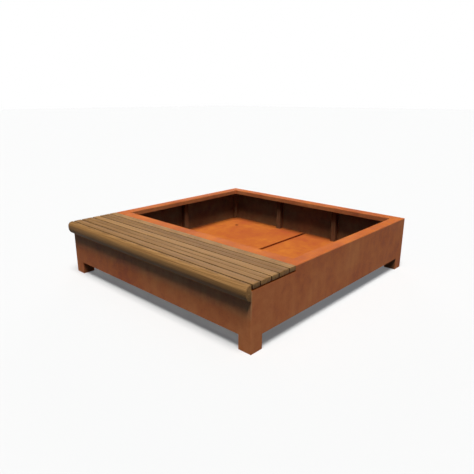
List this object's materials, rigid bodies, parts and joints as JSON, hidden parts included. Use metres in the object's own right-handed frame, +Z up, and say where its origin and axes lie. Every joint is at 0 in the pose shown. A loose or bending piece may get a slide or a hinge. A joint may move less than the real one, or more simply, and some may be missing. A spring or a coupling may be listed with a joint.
{
  "type": "bench with planter",
  "caption": "Square planter of folded weathering steel on four box legs, with a slatted timber bench built into its front edge.",
  "frame": {"origin": "on the ground, under the middle of the whole object's outline, front rail included", "axes": "+X along the bench, left to right seen from the front; +Y from the bench to the back of the planter; +Z up"},
  "size_m": [2, 2.046, 0.445],
  "materials": {
    "weathering_steel": "rusted weathering steel sheet, matt",
    "hardwood": "planed hardwood, oiled",
    "galvanised_steel": "hot dip galvanised"
  },
  "bodies": {
    "root": {"back_rib_left": "weathering_steel", "back_rib_right": "weathering_steel", "back_wall": "weathering_steel", "bearer_1": "galvanised_steel", "bearer_2": "galvanised_steel", "bearer_3": "galvanised_steel", "bearer_4": "galvanised_steel", "bearer_5": "galvanised_steel", "bearer_bolts": "galvanised_steel", "bench_ledge": "weathering_steel", "bench_partition": "weathering_steel", "corner_post_back_left": "weathering_steel", "corner_post_back_right": "weathering_steel", "corner_post_front_left": "weathering_steel", "corner_post_front_right": "weathering_steel", "floor_channel_left": "weathering_steel", "floor_channel_right": "weathering_steel", "floor_gutter": "weathering_steel", "floor_plate_left": "weathering_steel", "floor_plate_right": "weathering_steel", "front_wall": "weathering_steel", "left_rib": "weathering_steel", "left_wall": "weathering_steel", "leg_angle_back_left": "weathering_steel", "leg_angle_back_right": "weathering_steel", "leg_angle_front_left": "weathering_steel", "leg_angle_front_right": "weathering_steel", "nose_bolts": "galvanised_steel", "nose_slat": "hardwood", "partition_rib_left": "weathering_steel", "partition_rib_right": "weathering_steel", "right_rib": "weathering_steel", "right_wall": "weathering_steel", "slat_1": "hardwood", "slat_2": "hardwood", "slat_3": "hardwood", "slat_4": "hardwood", "slat_5": "hardwood", "sole_plate_back_left": "weathering_steel", "sole_plate_back_right": "weathering_steel", "sole_plate_front_left": "weathering_steel", "sole_plate_front_right": "weathering_steel"}
  },
  "joints": []
}
